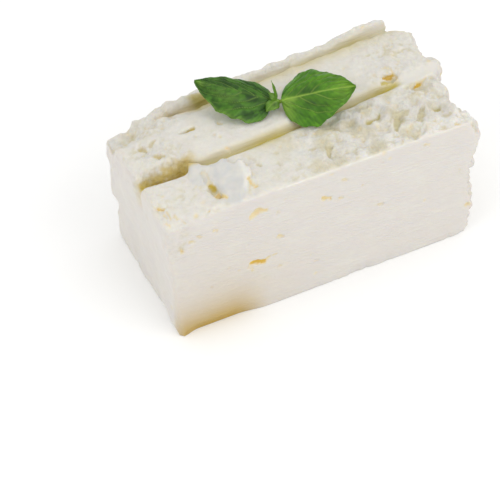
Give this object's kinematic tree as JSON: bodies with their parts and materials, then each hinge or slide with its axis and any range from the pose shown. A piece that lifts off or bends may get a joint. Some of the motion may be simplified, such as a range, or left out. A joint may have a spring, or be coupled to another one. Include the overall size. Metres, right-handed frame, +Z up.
{
  "type": "brined white cheese block",
  "caption": "Crumbly block of brined white cheese with a ribbed top, a knife-cut front and a broken end, with a sprig of basil lying on it.",
  "frame": {"origin": "middle of the bounding box on the flat underside", "axes": "+X along the block towards its broken end, -Y out of the knife-cut front, +Z up"},
  "size_m": [0.1232, 0.0672, 0.0663],
  "materials": {
    "curd": "moist white curd, warm yellow in its openings",
    "basil": "fresh green leaf with a soft gloss"
  },
  "bodies": {
    "root": {"cheese_block": "curd", "basil_sprig": "basil"}
  },
  "joints": []
}
